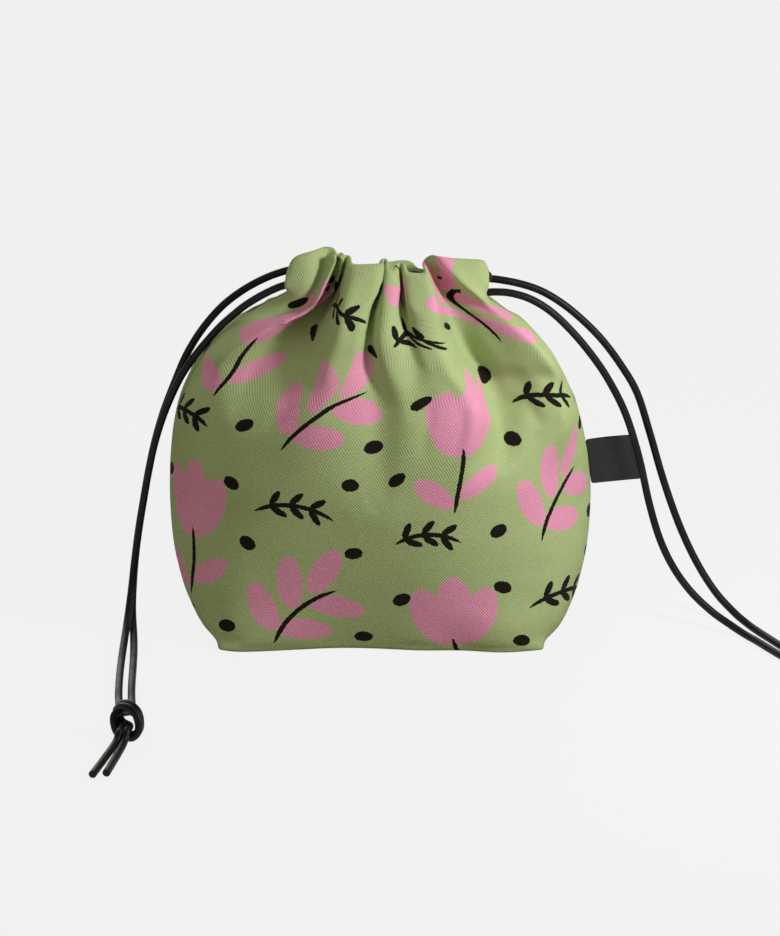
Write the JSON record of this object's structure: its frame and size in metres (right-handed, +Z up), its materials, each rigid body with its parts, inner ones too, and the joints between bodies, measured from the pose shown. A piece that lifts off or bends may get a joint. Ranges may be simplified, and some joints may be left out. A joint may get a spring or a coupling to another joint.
{
  "type": "kinchaku drawstring pouch",
  "caption": "Boxed-corner canvas pouch standing full, its mouth drawn shut by a pair of round drawstrings that leave at both sides and end in knots.",
  "frame": {"origin": "centre of the base's underside, on the surface that the pouch stands on", "axes": "+Z up, +X towards the side with the label, -Y out of the front panel"},
  "size_m": [0.3749, 0.2604, 0.1825],
  "materials": {
    "canvas": "printed ribbed cotton canvas, sage green with pink and black",
    "label": "black woven label",
    "cord": "black waxed round cord, satin"
  },
  "bodies": {
    "root": {"front_panel": "canvas", "back_panel": "canvas", "side_label": "label", "left_drawstring_run": "cord", "left_front_strand": "cord", "left_back_strand": "cord", "left_knot": "cord", "right_drawstring_run": "cord", "right_front_strand": "cord", "right_back_strand": "cord", "right_knot": "cord"}
  },
  "joints": []
}
